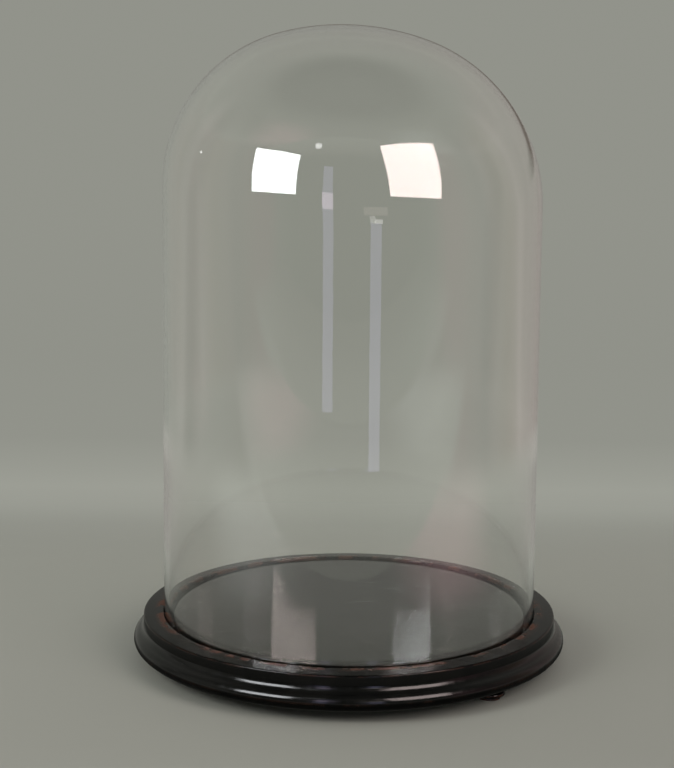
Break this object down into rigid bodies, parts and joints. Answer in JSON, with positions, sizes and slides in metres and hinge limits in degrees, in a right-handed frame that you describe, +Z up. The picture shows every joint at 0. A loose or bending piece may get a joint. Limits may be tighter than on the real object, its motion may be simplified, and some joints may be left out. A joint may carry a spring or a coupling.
{
  "type": "bell jar dome",
  "caption": "Tall clear glass display dome standing in the groove of a round turned black wooden base on small bun feet; the glass lifts off.",
  "frame": {"origin": "on the floor, under the middle of the base", "axes": "+Z up along the dome, -Y towards the viewer, +X to the viewer's right"},
  "size_m": [0.3256, 0.3256, 0.4774],
  "materials": {
    "dome_glass": "clear blown glass, very slightly wavy",
    "felt": "dark wool felt",
    "platform_wood": "black stain under gloss varnish, with hairline cracks along the grain",
    "screw_steel": "dulled steel, slotted heads",
    "ebonised_wood": "ebonised and polished, worn to red-brown wood along the groove's edge",
    "foot_wood": "ebonised turned wood, rubbed at the sole"
  },
  "bodies": {
    "base": {"base_ring": "ebonised_wood", "platform_board_front": "platform_wood", "platform_board_back": "platform_wood", "platform_screws": "screw_steel", "foot_left": "foot_wood", "foot_right": "foot_wood", "foot_back": "foot_wood"},
    "felt_ring": {"rim_felt": "felt"},
    "dome": {"glass_dome": "dome_glass"}
  },
  "joints": [
    {"name": "dome_turn", "type": "hinge", "parent": "base", "child": "felt_ring", "pos_m": [0, 0, 0.027], "axis": [0, 0, 1], "continuous": true},
    {"name": "dome_lift", "type": "slide", "parent": "felt_ring", "child": "dome", "axis": [0, 0, 1], "range_m": [0, 0.46]}
  ]
}
